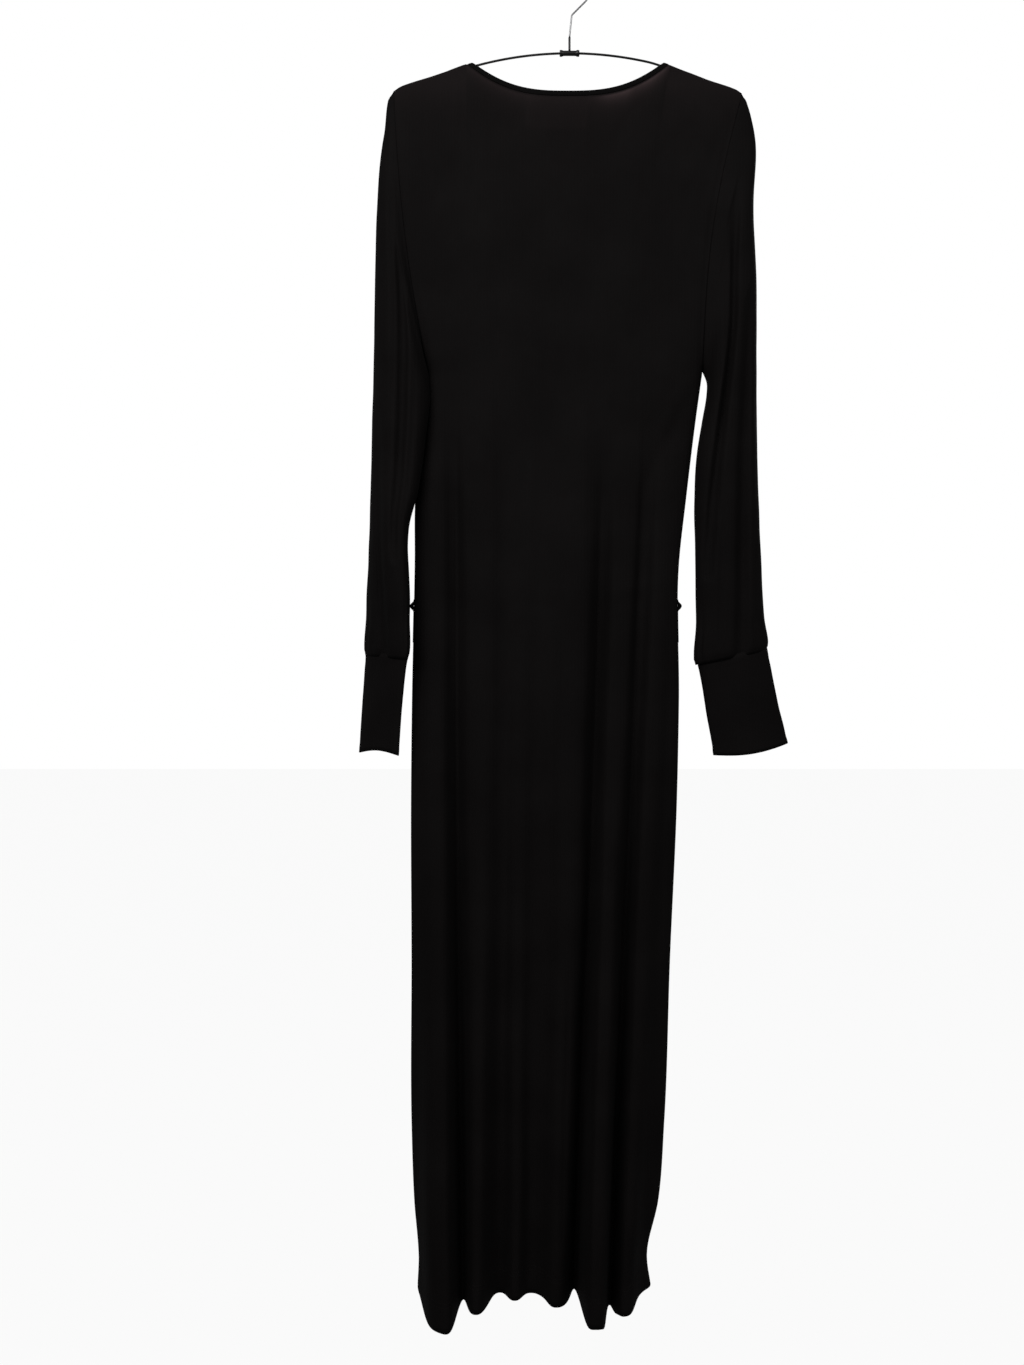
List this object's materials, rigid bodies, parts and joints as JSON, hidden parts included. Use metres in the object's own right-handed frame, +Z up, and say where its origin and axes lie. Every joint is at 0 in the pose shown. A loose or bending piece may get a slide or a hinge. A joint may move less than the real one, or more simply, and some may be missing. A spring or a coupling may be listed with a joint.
{
  "type": "maxi dress on a hanger",
  "caption": "Long-sleeved black jersey maxi dress with deep cuffs and an open round neck, hanging in soft folds on a thin wire hanger.",
  "frame": {"origin": "seat of the hanger's hook, where a rail carries it", "axes": "+Z up; the back of the dress faces -Y and its front +Y; +X to the right for someone looking at the back"},
  "size_m": [0.4833, 0.1394, 1.4839],
  "materials": {
    "jersey": "matt black viscose jersey",
    "binding": "matt black self binding",
    "label": "bare dark woven label",
    "coated_wire": "black coated",
    "steel_wire": "bright drawn wire"
  },
  "bodies": {
    "root": {"back_panel": "jersey", "front_panel": "jersey", "sleeve_left_back": "jersey", "sleeve_left_front": "jersey", "sleeve_right_back": "jersey", "sleeve_right_front": "jersey", "cuff_left": "jersey", "cuff_right": "jersey", "neck_binding": "binding", "belt_loop_left": "binding", "belt_loop_right": "binding", "neck_label": "label", "hanger_bar": "coated_wire", "hanger_collar": "coated_wire", "hanger_hook_root": "coated_wire", "hanger_hook": "steel_wire"}
  },
  "joints": []
}
